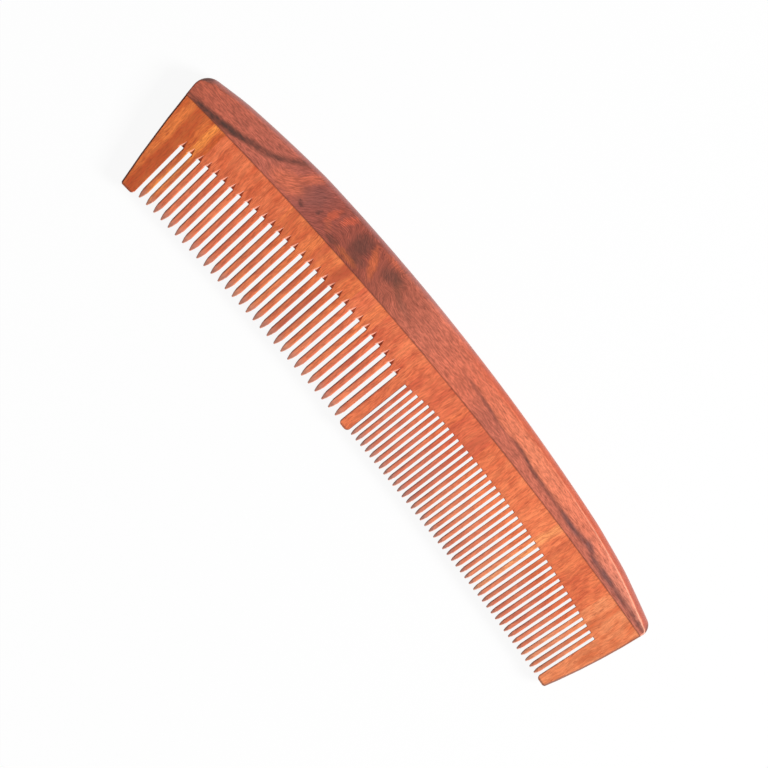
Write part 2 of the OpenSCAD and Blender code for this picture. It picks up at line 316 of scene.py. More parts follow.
# %% Stack the slices
GROOVE_LOW, GROOVE_HIGH = 2.25, 4.75
LEVELS = [0, 0.3, 0.8, 1.45, GROOVE_LOW, THICKNESS / 2, GROOVE_HIGH, 5.55, 6.2, 6.7, THICKNESS]
outline = [spine.data.vertices[v].co.xy for v in spine.data.polygons[0].vertices]
if spine.data.polygons[0].normal.z < 0:
    outline.reverse()
outward = {}
for i, point in enumerate(outline):
    along = (outline[(i + 1) % len(outline)] - outline[i - 1]).normalized()
    outward[(round(point.x, 7), round(point.y, 7))] = Vector((along.y, -along.x))

pick(spine.data, chosen_faces=[0], chosen_verts=range(len(outline)))
bpy.ops.object.mode_set(mode="EDIT")
bpy.ops.mesh.select_mode(type="FACE")
bpy.ops.mesh.select_all(action="SELECT")
for low, high in zip(LEVELS, LEVELS[1:]):
    bpy.ops.mesh.extrude_region_move(TRANSFORM_OT_translate={"value": (0, 0, (high - low) * MM)})
bpy.ops.mesh.select_all(action="SELECT")
bpy.ops.mesh.normals_make_consistent(inside=False)
bpy.ops.object.mode_set(mode="OBJECT")
print("slices:", len(LEVELS) - 1)

# %% Draw the slices in to a nose
NOSE_DEPTH = 1.6
NOSE_R = ((THICKNESS / 2) ** 2 + NOSE_DEPTH ** 2) / (2 * NOSE_DEPTH)


def part_way(value, start, stop):
    """How far a value has come from start to stop, from 0 to 1."""
    return min(max((value - start) / (stop - start), 0), 1)


for vert in spine.data.vertices:
    normal = outward[(round(vert.co.x, 7), round(vert.co.y, 7))]
    fall = NOSE_R - math.sqrt(NOSE_R ** 2 - (vert.co.z / MM - THICKNESS / 2) ** 2)
    share = part_way(normal.y, 0.1, 0.85)
    vert.co.xy -= normal * fall * MM * share * share * (3 - 2 * share)
print("nose radius in mm:", round(NOSE_R, 2))

# %% [markdown]
# ## The groove
# The staves hold on to the spine by a tongue along their tops, so the spine has a stopped groove in its
# joint face. A Boolean would cut it through whatever is in its way. Here the faces between two slices are
# pushed in, which is how a router would cut it, and no face is split.

# %% Sink the groove
GROOVE_DEPTH = 2.55
groove_faces = [p.index for p in spine.data.polygons
                if p.normal.y < -0.9 and GROOVE_LOW < p.center.z / MM < GROOVE_HIGH
                and abs(p.center.x / MM) < GROOVE_HALF and p.center.y / MM < joint_y(p.center.x / MM) + 0.1]
pick(spine.data, chosen_faces=groove_faces)
bpy.ops.object.mode_set(mode="EDIT")
bpy.ops.mesh.select_mode(type="FACE")
bpy.ops.mesh.extrude_region_move(TRANSFORM_OT_translate={"value": (0, GROOVE_DEPTH * MM, 0)})
bpy.ops.object.mode_set(mode="OBJECT")
print("faces along the groove:", len(groove_faces))

# %% [markdown]
# ## Softened edges
# No hand-sanded edge is sharp. A shader could fake round edges, but only in the picture, so these are real:
# a Bevel modifier that follows edge weights rounds each edge by its own share of the full width. Smooth
# shading would then pillow the flat faces, so many-sided faces are split and a Weighted Normal modifier
# lets the large ones win.

# %% Bevel by weights
EASE = 0.5  # full width in mm
SMOOTH_ANGLE = 28


def soften(piece, weigh, sharp, segments=3, profile=0.5):
    """Bevel edges sharper than the given angle by the weights that weigh(edge) gives, and shade smooth."""
    shape = bmesh.new()
    shape.from_mesh(piece.data)
    weight = shape.edges.layers.float.new("bevel_weight_edge")
    eased = 0
    for edge in shape.edges:
        if len(edge.link_faces) == 2 and edge.is_convex and edge.calc_face_angle() > math.radians(sharp):
            edge[weight] = weigh(edge)
            eased += edge[weight] > 0
    shape.to_mesh(piece.data)
    shape.free()
    bpy.ops.object.select_all(action="DESELECT")
    piece.select_set(True)
    bpy.context.view_layer.objects.active = piece
    bevel = piece.modifiers.new("eased_edges", "BEVEL")
    bevel.limit_method = "WEIGHT"
    bevel.width = EASE * MM
    bevel.segments = segments
    bevel.profile = profile
    bevel.use_clamp_overlap = False
    bpy.ops.object.modifier_apply(modifier=bevel.name)
    bpy.ops.object.mode_set(mode="EDIT")
    bpy.ops.mesh.select_mode(type="FACE")
    bpy.ops.mesh.select_all(action="DESELECT")
    bpy.ops.mesh.select_face_by_sides(number=4, type="GREATER")
    bpy.ops.mesh.quads_convert_to_tris(quad_method="BEAUTY", ngon_method="BEAUTY")
    bpy.ops.object.mode_set(mode="OBJECT")
    bpy.ops.object.shade_smooth_by_angle(angle=math.radians(SMOOTH_ANGLE))
    flatten = piece.modifiers.new("flat_faces", "WEIGHTED_NORMAL")
    flatten.keep_sharp = True
    flatten.weight = 100
    bpy.ops.object.modifier_apply(modifier=flatten.name)
    return eased


print("full easing in mm:", EASE)

# %% [markdown]
# ## Which edges of the spine are soft
# Hands and sandpaper reach the ends and the coarse half of the back most, and the glue joint hardly at all.
# One width all round would be simpler, but it would open the joint. So the weight of an edge follows from
# its place.

# %% Ease the spine's edges
GLUE_EASE, END_EASE = 0.06, 0.8
FINE_ARRIS, COARSE_ARRIS = 0.5, 1.4


def spine_weight(edge):
    middle = (edge.verts[0].co + edge.verts[1].co) / 2 / MM
    if 0.01 < middle.z < THICKNESS - 0.01:
        return 0.0
    if middle.y < joint_y(middle.x) + 0.02:
        return GLUE_EASE
    arris = FINE_ARRIS + (COARSE_ARRIS - FINE_ARRIS) * part_way(-middle.x, 5, 40)
    return arris + (END_EASE - arris) * part_way(abs(middle.x), 80, 89)


print("spine edges eased:", soften(spine, spine_weight, sharp=33))

# %% [markdown]
# ## The staves
# The toothed board is eight staves glued side by side, each with its grain along the teeth. Sawing 73 gaps
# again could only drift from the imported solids, so each stave starts as a copy of its solid. The copy comes
# as loose triangles: they are merged and dissolved into whole faces first, and only then can the edges be
# eased. The merge also closes up the shortest edges, which a bevel would turn inside out, and normals that
# came with the copy are dropped, because they belong to the unsoftened shape.

# %% Which edges of a stave are soft
FAN_X, FAN_Y = 2.6, -774.9  # where all the teeth would meet
FAN_R = 742.5  # how far from there the middle teeth end
CLOSE = 0.05  # mm within which a point counts as lying on a line
END_X_FROM = 82.7  # faces that look outwards beyond this x are the ends of the comb
COARSE_FROM, COARSE_TO, LONG_EDGE = -74, -2, 4  # stretch of coarse teeth, and the least length of their sides
TOOTH_EASE, COARSE_EASE = 0.3, 0.45


def fan_angle(point):
    """Direction of a point as seen from where all the teeth would meet."""
    return math.atan2(point.x / MM - FAN_X, point.y / MM - FAN_Y)


def at_comb_end(face):
    """Whether a face looks outwards at one of the comb's two ends."""
    x = face.calc_center_median().x / MM
    return abs(x) > END_X_FROM and face.normal.x * math.copysign(1, x) > 0.9


def stave_weight(edge, seams):
    """None on seams and on the tongue, a trace at the glue joint, more on teeth, most at the comb's ends."""
    ends = [vert.co for vert in edge.verts]
    above = [end.y / MM - joint_y(end.x / MM) for end in ends]
    on_seam = any(all(abs(fan_angle(end) - seam) * FAN_R < CLOSE for end in ends) for seam in seams)
    if on_seam or max(above) > CLOSE:
        return 0.0
    if min(above) > -CLOSE:
        return GLUE_EASE
    if any(at_comb_end(face) for face in edge.link_faces):
        return END_EASE
    long_coarse = edge.calc_length() / MM > LONG_EDGE and COARSE_FROM < ends[0].x / MM < COARSE_TO
    return COARSE_EASE if long_coarse else TOOTH_EASE


print("teeth would meet at, in mm:", (FAN_X, FAN_Y))

# %% Copy and ease the staves
STAVES = ["coarse_guard_stave", "coarse_outer_stave", "coarse_middle_stave", "coarse_inner_stave",
          "fine_inner_stave", "fine_middle_stave", "fine_outer_stave", "fine_guard_stave"]
MERGE = 0.02  # mm within which two points become one
FLAT_ANGLE = 0.06  # degrees up to which faces become one
staves = {}
for index, name in enumerate(STAVES):
    piece = bpy.data.objects.new("eased_" + name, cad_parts[name].data.copy())
    bpy.context.collection.objects.link(piece)
    bpy.ops.object.select_all(action="DESELECT")
    piece.select_set(True)
    bpy.context.view_layer.objects.active = piece
    bpy.ops.object.mode_set(mode="EDIT")
    bpy.ops.mesh.select_all(action="SELECT")
    bpy.ops.mesh.customdata_custom_splitnormals_clear()
    bpy.ops.mesh.remove_doubles(threshold=MERGE * MM)
    bpy.ops.mesh.dissolve_limited(angle_limit=math.radians(FLAT_ANGLE))
    bpy.ops.object.mode_set(mode="OBJECT")
    angles = [fan_angle(vert.co) for vert in piece.data.vertices]
    seams = ([min(angles)] if index > 0 else []) + ([max(angles)] if index < len(STAVES) - 1 else [])
    eased = soften(piece, lambda edge: stave_weight(edge, seams), sharp=60, segments=2, profile=0.28)
    staves[name] = piece
    print(name, "edges eased:", eased, "faces:", len(piece.data.polygons))

# %% [markdown]
# ## Grain that every piece shares
# Wood fibres are long and thin, so noise is stretched along the grain: a fine one for fibres, a broad one
# for bands of growth, a sharp sparse one for open pores, and a blotchy one for the clouds that a polish
# brings out. It could be built anew in each material, but both woods use it. So it is a node group that
# takes a place along and across the grain in millimetres, and a seed that makes each board its own.

# %% Group: wood grain
def new_group(name, inputs, outputs):
    tree = bpy.data.node_groups.new(name, "ShaderNodeTree")
    for socket, kind in inputs:
        tree.interface.new_socket(socket, in_out="INPUT", socket_type="NodeSocket" + kind)
    for socket, kind in outputs:
        tree.interface.new_socket(socket, in_out="OUTPUT", socket_type="NodeSocket" + kind)
    return tree, tree.nodes.new("NodeGroupInput").outputs, tree.nodes.new("NodeGroupOutput").inputs


wood_grain, grain_in, grain_out = new_group(
    "wood_grain", [("Along", "Float"), ("Across", "Float"), ("Depth", "Float"), ("Seed", "Float")],
    [("Fibres", "Float"), ("Bands", "Float"), ("Pores", "Float"), ("Mottle", "Float")])


def stretched(along, across):
    """Noise place stretched along the grain, in cycles per millimetre."""
    deep = plus(wood_grain, times(wood_grain, grain_in["Depth"], across * 0.5), grain_in["Seed"])
    return vector(wood_grain, times(wood_grain, grain_in["Along"], along),
                  times(wood_grain, grain_in["Across"], across), deep)


LAYERS = {  # cycles along and across, noise detail and roughness, where the layer starts and is full
    "Fibres": (0.4, 2.3, 4.0, 0.68, 0.36, 0.64),
    "Bands": (0.022, 0.26, 2.0, 0.55, 0.32, 0.68),
    "Pores": (0.5, 4.6, 1.0, 0.5, 0.57, 0.67),
    "Mottle": (0.2, 0.42, 3.0, 0.6, 0.33, 0.67),
}
for socket, (along, across, detail, rough, start, full) in LAYERS.items():
    layer = noise(wood_grain, stretched(along, across), detail, rough)
    wood_grain.links.new(smooth(wood_grain, layer, start, full), grain_out[socket])
print("group:", wood_grain.name, "nodes:", len(wood_grain.nodes))

# %% [markdown]
# ## Where on the board
# Both woods also need to know how far a point is from the glue joint, because glue and dust leave a thin
# dark line along it. The line could be drawn on a UV map, but the joint is an arc, so a few sums give the
# arc's height under any point, and no map is needed.

# %% Group: distance from the joint
BOW = 2 * 1071  # a parabola with this divisor stays within a hundredth of a millimetre of the arc
from_joint, joint_in, joint_out = new_group(
    "from_joint", [("Position", "Vector")],
    [("X", "Float"), ("Y", "Float"), ("Z", "Float"), ("Height", "Float")])
in_mm = node(from_joint, "VectorMath", {0: joint_in["Position"], 1: (1 / MM, 1 / MM, 1 / MM)},
             operation="MULTIPLY")
split = node(from_joint, "SeparateXYZ", {0: in_mm.outputs[0]}).outputs
aside = calc(from_joint, "SUBTRACT", split[0], JOINT_ARC[0])
drop = calc(from_joint, "DIVIDE", times(from_joint, aside, aside), BOW)
arc_height = calc(from_joint, "SUBTRACT", JOINT_ARC[1], drop)
for i, socket in enumerate("XYZ"):
    from_joint.links.new(split[i], joint_out[socket])
from_joint.links.new(calc(from_joint, "SUBTRACT", split[1], arc_height), joint_out["Height"])
print("group:", from_joint.name)

# %% [markdown]
# ## Spots in the wood
# Knots and dark clouds are soft ellipses. They could be painted one by one, but a group that measures how
# far a point lies from a centre, in units of the ellipse's own size and turned to its slant, makes each of
# them one node.

# %% Group: soft spot
soft_spot, spot_in, spot_out = new_group(
    "soft_spot", [("Position", "Vector"), ("Centre", "Vector"), ("Turn", "Float"), ("Long", "Float"),
                  ("Short", "Float")], [("Mask", "Float")])
shifted = node(soft_spot, "VectorMath", {0: spot_in["Position"], 1: spot_in["Centre"]}, operation="SUBTRACT")
turned = node(soft_spot, "VectorRotate", {"Vector": shifted.outputs[0], "Angle": spot_in["Turn"]},
              rotation_type="Z_AXIS", invert=True)
parts = node(soft_spot, "SeparateXYZ", {0: turned.outputs[0]}).outputs
long_way = calc(soft_spot, "DIVIDE", parts[0], spot_in["Long"])
short_way = calc(soft_spot, "DIVIDE", parts[1], spot_in["Short"])
reach = calc(soft_spot, "SQRT", plus(soft_spot, times(soft_spot, long_way, long_way),
                                     times(soft_spot, short_way, short_way)))
soft_spot.links.new(smooth(soft_spot, reach, 1.0, 0.25), spot_out["Mask"])
print("group:", soft_spot.name)

# %% [markdown]
# ## What both woods begin and end with
# Sanded, oiled and waxed wood has a soft sheen: medium roughness under a thin clear coat. Two full
# materials could say so twice, but both woods start from the same shader and end with the same three steps,
# so these are two functions. End grain drinks the wax, and a mask can make it duller.

# %% Start and finish a wood
STAVE_COAT, SPINE_COAT = 0.12, 0.15
GLUE_LINE = "#4a2418"


def use_group(tree, group, inputs):
    return node(tree, "Group", inputs, node_tree=group).outputs


def start_wood(name, coat):
    """A waxed material, with the place on the board and the way the surface faces."""
    material = bpy.data.materials.new(name)
    material.use_nodes = True
    tree = material.node_tree
    shader = tree.nodes["Principled BSDF"]
    shader.inputs["Specular IOR Level"].default_value = 0.3
    shader.inputs["Coat Weight"].default_value = coat
    shader.inputs["Coat Roughness"].default_value = 0.3
    surface = node(tree, "TexCoord").outputs
    where = use_group(tree, from_joint, {"Position": surface["Object"]})
    facing = node(tree, "SeparateXYZ", {0: surface["Normal"]}).outputs
    return material, tree, shader, where, facing


def finish_wood(tree, shader, colour, where, grain, rough, line, dull):
    """Darken the glue line, then plug colour, roughness and the pores' relief into the shader."""
    near = smooth(tree, calc(tree, "ABSOLUTE", where["Height"]), 0.32, 0.05, 0.0, line)
    tree.links.new(tint(tree, colour, near, GLUE_LINE), shader.inputs["Base Color"])
    shine = plus(tree, lift(tree, grain["Fibres"], 0.12, rough), times(tree, dull, 0.35))
    tree.links.new(shine, shader.inputs["Roughness"])
    relief = calc(tree, "SUBTRACT", times(tree, grain["Fibres"], 0.35), grain["Pores"])
    bump = node(tree, "Bump", {"Height": relief, "Strength": 0.15, "Distance": 0.00005})
    tree.links.new(bump.outputs[0], shader.inputs["Normal"])


print("clear coat on staves and spine:", (STAVE_COAT, SPINE_COAT))

# %% [markdown]
# ## Staves: one wood, eight boards
# All staves come from the same orange-red wood, but each is a board of its own: a little darker or
# yellower, with its own streaks. Grain in one direction would run out of the sides of the outer teeth. Here
# it fans out with the teeth, so the place across it is the direction from the point where all teeth would
# meet, and the place along it is the distance from there.

# %% Grain and colour of a board
PORES = "#8a3018"


def fan_grain(tree, where, seed):
    """Places across and along the fan in mm, the place across as the grain sways, and the grain itself."""
    east = calc(tree, "SUBTRACT", where["X"], FAN_X)
    north = calc(tree, "SUBTRACT", where["Y"], FAN_Y)
    spread = times(tree, calc(tree, "ARCTAN2", east, north), FAN_R)
    along = calc(tree, "SQRT", plus(tree, times(tree, east, east), times(tree, north, north)))
    sway = noise(tree, vector(tree, times(tree, along, 0.12), times(tree, spread, 0.1), seed))
    across = plus(tree, spread, lift(tree, sway, 2.2, -1.1))
    grain = use_group(tree, wood_grain, {"Along": along, "Across": across, "Depth": where["Z"], "Seed": seed})
    return spread, along, across, grain


def board_colour(tree, across, grain, dark, light, streaks):
    """Bands and clouds between two tones, then streaks along the grain, fibres and pores."""
    tone = plus(tree, times(tree, grain["Bands"], 0.45), times(tree, grain["Mottle"], 0.55))
    colour = blend(tree, tone, linear(dark), linear(light))
    for centre, half_width, code, amount in streaks:
        away = calc(tree, "ABSOLUTE", calc(tree, "SUBTRACT", across, centre))
        frayed = lift(tree, grain["Fibres"], 0.5, 0.5)
        mask = times(tree, smooth(tree, away, half_width, half_width * 0.2), frayed)
        colour = tint(tree, colour, times(tree, mask, amount), code)
    colour = shade_by(tree, colour, grain["Fibres"], 0.17)
    return tint(tree, colour, times(tree, grain["Pores"], 0.35), PORES)


ends = [fan_angle(Vector(CORNERS[corner]) * MM) for corner in ("coarse_joint", "fine_joint")]
print("grain turns from end to end by degrees:", round(math.degrees(ends[1] - ends[0]), 1))

# %% [markdown]
# ## Painted shade and highlights on the teeth
# The teeth are rubbed paler and greyer than the web, most of all at their tips. The edge of every tooth that
# faces away from the lamp is painted darker as shade. Facets that slope towards the tips and the fine end,
# such as the run-outs the cutter left above the coarse gaps, get a painted highlight, and the walls of the
# cuts get painted shade. The comb's two outer edges are painted dark as shade too. Each mark could be painted
# tooth by
# tooth, but the gaps repeat: one sum of place and pitch finds the edge of every tooth, and the way a face
# looks finds every cut.

# %% Masks for teeth, cuts and outer edges
SAWN = {  # first and last gap across the fan, pitch and half a gap in mm, then painted edge shade at root and tip, paleness and tip colour
    "coarse": {"first": -80.45, "last": -3.6, "pitch": 2.65, "half_gap": 0.5,
               "edge_shade_root": 0.6, "edge_shade_tip": 0.7, "pale": 0.08, "tip_colour": "#c8988a"},
    "fine": {"first": 0.55, "last": 78.25, "pitch": 1.85, "half_gap": 0.35,
             "edge_shade_root": 0.15, "edge_shade_tip": 0.55, "pale": 0.16, "tip_colour": "#aa8c86"},
}
# tone of the rubbed teeth, and the colour of painted shade on one edge of each tooth
RUBBED_TOOTH, SHADED_TOOTH_EDGE = "#a89a90", "#5e2c20"
# colours of painted highlight on facets, painted shade on the walls of the cuts and on the outer edges
LIT_FACET_HIGHLIGHT, WALL_SHADE, OUTER_EDGE_SHADE = "#f0b09a", "#6e3420", "#5a2c20"


def between(tree, spread, low, high):
    """Mask of a range across the fan."""
    return times(tree, smooth(tree, spread, low - 0.1, low), smooth(tree, spread, high + 0.1, high))


def tooth_tones_and_edge_shade(tree, colour, sawn, spread, along):
    """Pale teeth, paler tips and painted shade on the edge of each tooth that faces away from the lamp."""
    first, last = sawn["first"], sawn["last"]
    toothed = between(tree, spread, first, last)
    pale = times(tree, toothed, smooth(tree, along, FAN_R + 18, FAN_R + 10, 0.0, sawn["pale"]))
    colour = tint(tree, colour, pale, RUBBED_TOOTH)
    tips = times(tree, toothed, smooth(tree, along, FAN_R + 4, FAN_R + 0.5, 0.0, 0.5))
    colour = tint(tree, colour, tips, sawn["tip_colour"])
    past_gap = calc(tree, "FLOORED_MODULO", calc(tree, "SUBTRACT", spread, first), sawn["pitch"])
    edge = smooth(tree, past_gap, sawn["half_gap"] + 0.5, sawn["half_gap"] + 0.12)
    edge = times(tree, edge, between(tree, spread, first, last + 1))
    # painted shade on the tooth edge away from the lamp, stronger towards the tips
    edge_shade = times(tree, smooth(tree, along, FAN_R + 18.5, FAN_R + 15),
                    smooth(tree, along, FAN_R + 12, FAN_R + 3, sawn["edge_shade_root"], sawn["edge_shade_tip"]))
    return tint(tree, colour, times(tree, edge, edge_shade), SHADED_TOOTH_EDGE)


def facet_highlight_and_wall_shade(tree, colour, facing):
    """Painted highlight on facets that slope towards the tips and the fine end, and painted shade on the
    walls of the cuts.
    """
    # painted highlight on facets that slope towards the tips and the fine end, such as the run-outs
    facet_highlight = times(tree, smooth(tree, facing[1], -0.12, -0.24), smooth(tree, facing[0], 0.3, 0.5, 0.0, 0.75))
    colour = tint(tree, colour, facet_highlight, LIT_FACET_HIGHLIGHT)
    # painted shade on the walls of the cuts
    wall_shade = smooth(tree, calc(tree, "ABSOLUTE", facing[2]), 0.65, 0.3, 0.0, 0.6)
    return tint(tree, colour, wall_shade, WALL_SHADE)


def outer_shade_mask(tree, sawn, spread, facing):
    """Mask of painted shade on the comb's two outer edges."""
    outer = calc(tree, "SUBTRACT", 1.0, between(tree, spread, sawn["first"] - 1.2, sawn["last"] + 1.4))
    return times(tree, outer, smooth(tree, calc(tree, "ABSOLUTE", facing[0]), 0.25, 0.6, 0.0, 0.8))


for half, sawn in SAWN.items():
    print(half, "gaps:", round((sawn["last"] - sawn["first"]) / sawn["pitch"]) + 1)

# %% [markdown]
# ## Eight boards
# Eight materials could be mixed by hand, but they differ only in two tones, a seed and a few streaks. So
# one function makes them from a table, as boards are picked from one stack.

# %% Material: stave wood
def stave_wood(name, dark, light, seed, streaks):
    material, tree, shader, where, facing = start_wood("wood_" + name, STAVE_COAT)
    sawn = SAWN[name.split("_")[0]]
    spread, along, across, grain = fan_grain(tree, where, seed)
    colour = board_colour(tree, across, grain, dark, light, streaks)
    colour = tooth_tones_and_edge_shade(tree, colour, sawn, spread, along)
    colour = facet_highlight_and_wall_shade(tree, colour, facing)
    # painted shade on the comb's two outer edges; the same mask makes them rougher
    outer_shade_and_dull = outer_shade_mask(tree, sawn, spread, facing)
    colour = tint(tree, colour, outer_shade_and_dull, OUTER_EDGE_SHADE)
    finish_wood(tree, shader, colour, where, grain, rough=0.38, line=0.4, dull=outer_shade_and_dull)
    return material


BOARDS = {  # dark tone, light tone, seed, streaks: place across the fan, half width, colour, amount
    "coarse_guard_stave": ("#bf5022", "#ea8040", 3.1, [(-82.8, 2.8, "#a83c1c", 0.7),
                                                       (-77.8, 1.5, "#ff9a48", 0.9)]),
    "coarse_outer_stave": ("#ca5832", "#ee7e50", 11.4, [(-68.0, 1.2, "#bc4e30", 0.4)]),
    "coarse_middle_stave": ("#ca5a34", "#f2864e", 21.9, [(-48.8, 2.2, "#bc5030", 0.7),
                                                         (-40.6, 1.8, "#f08a4c", 0.5),
                                                         (-37.7, 1.6, "#bc5034", 0.6),
                                                         (-30.6, 2.6, "#ac462e", 0.85)]),
    "coarse_inner_stave": ("#ce5a3a", "#f28456", 34.2, [(-17.5, 3.0, "#f88a4c", 0.5),
                                                        (-1.5, 2.4, "#ee8052", 0.6)]),
    "fine_inner_stave": ("#cc5a3c", "#ea7a50", 47.7, [(14.5, 1.6, "#f4824e", 0.5),
                                                      (22.5, 2.2, "#bc5238", 0.7)]),
    "fine_middle_stave": ("#d4623c", "#f28656", 58.3, [(51.1, 1.8, "#fca466", 0.8)]),
    "fine_outer_stave": ("#ce5e3a", "#ec8050", 66.1, [(55.2, 0.9, "#b0563a", 0.4)]),
    "fine_guard_stave": ("#d46a3e", "#ee9060", 79.5, [(75.4, 1.3, "#c65a32", 0.6)]),
}
for name, (dark, light, seed, streaks) in BOARDS.items():
    piece = staves[name]
    piece.data.materials.clear()
    piece.data.materials.append(stave_wood(name, dark, light, seed, streaks))
    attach(piece, "root")
    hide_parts(name)
print("stave materials:", len(BOARDS))

# %% [markdown]
# ## Spine: lengthwise wood with figure
# The spine is a browner board with its grain along the comb: reddish brown at the coarse end, darker in its
# knotty stretch, and salmon at the fine end. A mix of two colours would be simpler, but it can't darken and
# lighten again, so a colour ramp along the board gives these tones. Two wandering shifts, one broad and one
# fine, are made here too. Streaks and patches are bent by them, so that none has a ruler-straight edge.

# %% Spine wood: tones along the board
END_X = 90  # mm from the middle of the comb to where ramps and curves end
spine_wood, tree, shader, where, facing = start_wood("wood_spine", SPINE_COAT)
place_mm = vector(tree, where["X"], where["Y"], 0.0)
along_share = calc(tree, "DIVIDE", plus(tree, where["X"], END_X), 2 * END_X)


def wander(wave_x, wave_y, width):
    """A wandering shift of up to about half a width, with waves per millimetre along and across the board."""
    waves = node(tree, "VectorMath", {0: place_mm, 1: (wave_x, wave_y, 1)}, operation="MULTIPLY").outputs[0]
    return lift(tree, noise(tree, waves, 3.0), width, -width / 2)


bend, fray = wander(0.16, 0.45, 2.4), wander(0.9, 1.7, 1.8)
STOPS = [(-90, "#b85c44"), (-62, "#bc6450"), (-49, "#a05246"), (-36, "#984a3a"), (-28, "#964838"),
         (-18, "#a65642"), (-4, "#c86c54"), (14, "#d87052"), (37, "#ea8460"), (60, "#e07a5c"),
         (90, "#e28c74")]
ramp = node(tree, "ValToRGB", {0: along_share})
band = ramp.color_ramp
while len(band.elements) < len(STOPS):
    band.elements.new(0.5)
for element, (x, code) in zip(band.elements, STOPS):
    element.position = (x + END_X) / (2 * END_X)
    element.color = linear(code)
tone = ramp.outputs[0]
print("tones along the spine:", len(STOPS))

# %% [markdown]
# ## Figure
# Round a knot the fibres part and close again, and a cut board shows them as fine curved lines. Drawing
# each line would take hundreds of curves, but lines of equal height on a hill look the same. So soft hills
# are added to the place across the grain, and the fibres and a fine wave follow that place: where there is
# no hill they run straight. One broad crest, where a branch once pushed the fibres up, slants them to both
# sides.

# %% Curl the grain round the knots
LINE_PITCH = 0.48
CREST_X, CREST_REACH, CREST_HEIGHT = -37, 26, 14
HILLS = [  # x, y, slant in degrees, half length, half width, height
    (-31.6, 0.4, 70, 6.5, 5.0, 2.4), (-20.4, 0.4, 60, 6.0, 4.5, 2.4), (-55.5, -5.0, 25, 10.0, 5.0, 2.2)]


def spot_mask(position, x, y, slant, long_half, short_half):
    return use_group(tree, soft_spot, {"Position": position, "Centre": (x, y, 0), "Turn": math.radians(slant),
                                       "Long": long_half, "Short": short_half})["Mask"]


figure = times(tree, smooth(tree, where["X"], -60, -50), smooth(tree, where["X"], -8, -18))
from_crest = calc(tree, "ABSOLUTE", plus(tree, calc(tree, "SUBTRACT", where["X"], CREST_X), bend))
sway = times(tree, bend, lift(tree, figure, 0.3, 0.15))
crest = smooth(tree, from_crest, 0, CREST_REACH, 0, CREST_HEIGHT)
across = plus(tree, plus(tree, where["Height"], sway), crest)
for *ellipse, height in HILLS:
    across = plus(tree, across, times(tree, spot_mask(place_mm, *ellipse), height))
grain = use_group(tree, wood_grain, {"Along": times(tree, where["X"], 1.2), "Across": across,
                                     "Depth": where["Z"], "Seed": 5.0})
wave = calc(tree, "SINE", times(tree, across, 2 * math.pi / LINE_PITCH))
lines = lift(tree, times(tree, wave, times(tree, figure, grain["Mottle"])), 0.5, 0.5)
print("hills in the grain:", len(HILLS))

# %% [markdown]
# ## Paths for streaks
# A nearly black streak rises from the joint near the coarse end to the back, and a thin dark line runs
# along the fine half with browner wood below it. A wave texture would give many streaks, all alike. A Float
# Curve gives one path of its own: x goes in, and the height of the streak there comes out.

# %% Streaks that follow a curve
CURVE_Y = 15  # mm above and below the middle that a curve's 0 to 1 stands for
BROWNER = "#bc6450"


def streak_path(points, ragged):
    """How far a point lies above a path of (x, y) points in millimetres, more or less ragged."""
    curve = node(tree, "FloatCurve", {"Value": along_share})
    line = curve.mapping.curves[0]
    for x, y in points:
        line.points.new((x + END_X) / (2 * END_X), (y + CURVE_Y) / (2 * CURVE_Y))
    for end in (line.points[0], line.points[-1]):
        if end.location[0] in (0.0, 1.0):
            nearest = points[0] if end.location[0] == 0.0 else points[-1]
            end.location[1] = (nearest[1] + CURVE_Y) / (2 * CURVE_Y)
    curve.mapping.update()
    astray = times(tree, plus(tree, times(tree, bend, 0.5), fray), ragged)
    path_y = lift(tree, curve.outputs[0], 2 * CURVE_Y, -CURVE_Y)
    return calc(tree, "SUBTRACT", plus(tree, where["Y"], astray), path_y)


COARSE_PATH = [(-89, -9.9), (-81, -9.0), (-77, -8.2), (-73.5, -7.3), (-69.6, -5.8), (-65.4, -4.6),
               (-61.7, -2.5), (-59.5, -0.7), (-55, 2.4), (-51, 4.5)]
FINE_PATH = [(10, -0.2), (21, -1.0), (27.5, -1.6), (33, -1.3), (41, -2.5), (50.5, -3.0), (60, -3.6),
             (63.6, -3.2), (67.4, -4.4), (74.5, -5.0), (81.5, -5.5), (88, -6.1)]
coarse_streak = streak_path(COARSE_PATH, ragged=0.6)
fine_streak = streak_path(FINE_PATH, ragged=0.25)
below = times(tree, smooth(tree, fine_streak, 0.5, -0.4), smooth(tree, where["X"], 8, 24))
tone = tint(tree, tone, times(tree, below, 0.85), BROWNER)
print("points on the two paths:", len(COARSE_PATH), len(FINE_PATH))

# %% [markdown]
# ## Patches, knots and flares
# Between the two streaks lies a cloudy, knotty stretch with dark patches and orange flares. One noise could
# give clouds anywhere, but these have their places, so each is a soft spot from a table. The place they are
# measured at is shifted by both wandering shifts, which frays their edges.

